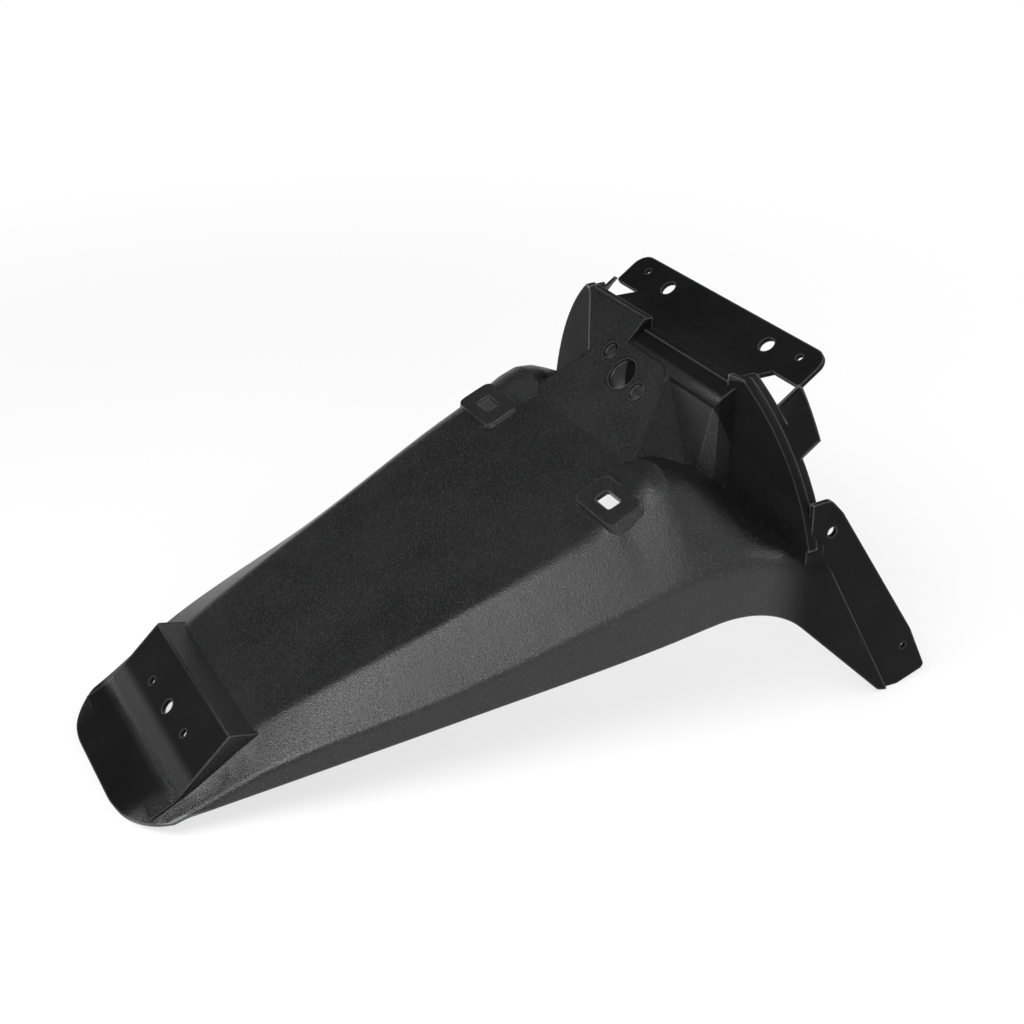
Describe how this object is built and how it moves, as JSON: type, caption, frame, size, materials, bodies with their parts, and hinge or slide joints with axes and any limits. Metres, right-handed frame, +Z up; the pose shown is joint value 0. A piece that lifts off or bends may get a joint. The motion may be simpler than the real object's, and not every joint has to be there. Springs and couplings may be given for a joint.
{
  "type": "motorcycle rear fender",
  "caption": "Black plastic rear fender for a motorcycle: a tapered channel over the wheel with a tail block, lamp pads, a bracket tower, legs and a bolting flange.",
  "frame": {"origin": "under the middle of the fender's box, on the floor it rests on", "axes": "+X to the rider's right, +Y to the front of the motorcycle, +Z up; it rests on the tail's rim and the two leg tips"},
  "size_m": [0.2868, 0.4844, 0.2125],
  "materials": {
    "black_plastic": "black moulded polypropylene with a fine grain, coarser on the side walls"
  },
  "bodies": {
    "root": {"rear_fender": "black_plastic"}
  },
  "joints": []
}
